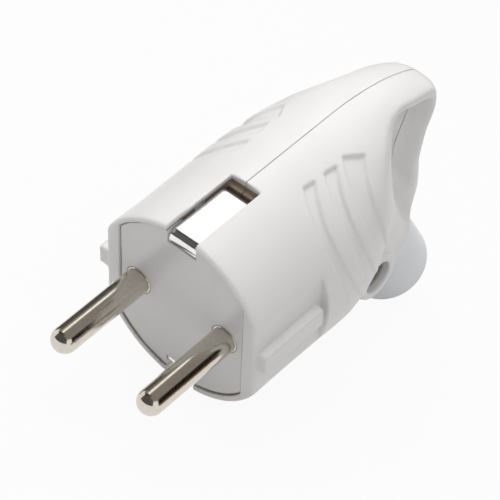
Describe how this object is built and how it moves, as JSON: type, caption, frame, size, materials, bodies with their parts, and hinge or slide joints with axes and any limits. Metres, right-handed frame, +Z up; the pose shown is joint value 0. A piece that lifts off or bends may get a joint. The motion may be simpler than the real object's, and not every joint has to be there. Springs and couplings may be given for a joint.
{
  "type": "electrical plug",
  "caption": "Rewirable white earthed mains plug with round pins, side earth strips, slanted cord sleeve and a D-shaped pull handle.",
  "frame": {"origin": "middle of the base of the plug's box as it stands on the lower edge of its front and on its sleeve", "axes": "+X across the pins to the right seen from behind the pins, +Y from the pins to the handle, +Z up"},
  "size_m": [0.0372, 0.0897, 0.0514],
  "materials": {
    "housing": "smooth white thermoplastic, satin",
    "insert": "fine-grained pale grey thermoset",
    "sleeve": "smooth white flexible plastic",
    "pins": "bright nickel-plated brass",
    "earth_strip": "bright plated spring strip",
    "steel": "zinc-plated",
    "clamp": "moulded plastic"
  },
  "bodies": {
    "root": {"left_shell": "housing", "right_shell": "housing", "front_insert": "insert", "cable_sleeve": "sleeve", "pin_left": "pins", "pin_right": "pins", "earth_bracket": "earth_strip", "pin_washer_left": "steel", "pin_washer_right": "steel", "pin_screw_left": "steel", "pin_screw_right": "steel", "earth_nut": "steel", "earth_saddle": "steel", "earth_spring_washer": "steel", "earth_screw": "steel", "cord_clamp": "clamp", "cord_clamp_screw_lower": "steel", "cord_clamp_screw_upper": "steel", "closing_screw": "steel", "closing_nut": "steel"}
  },
  "joints": []
}
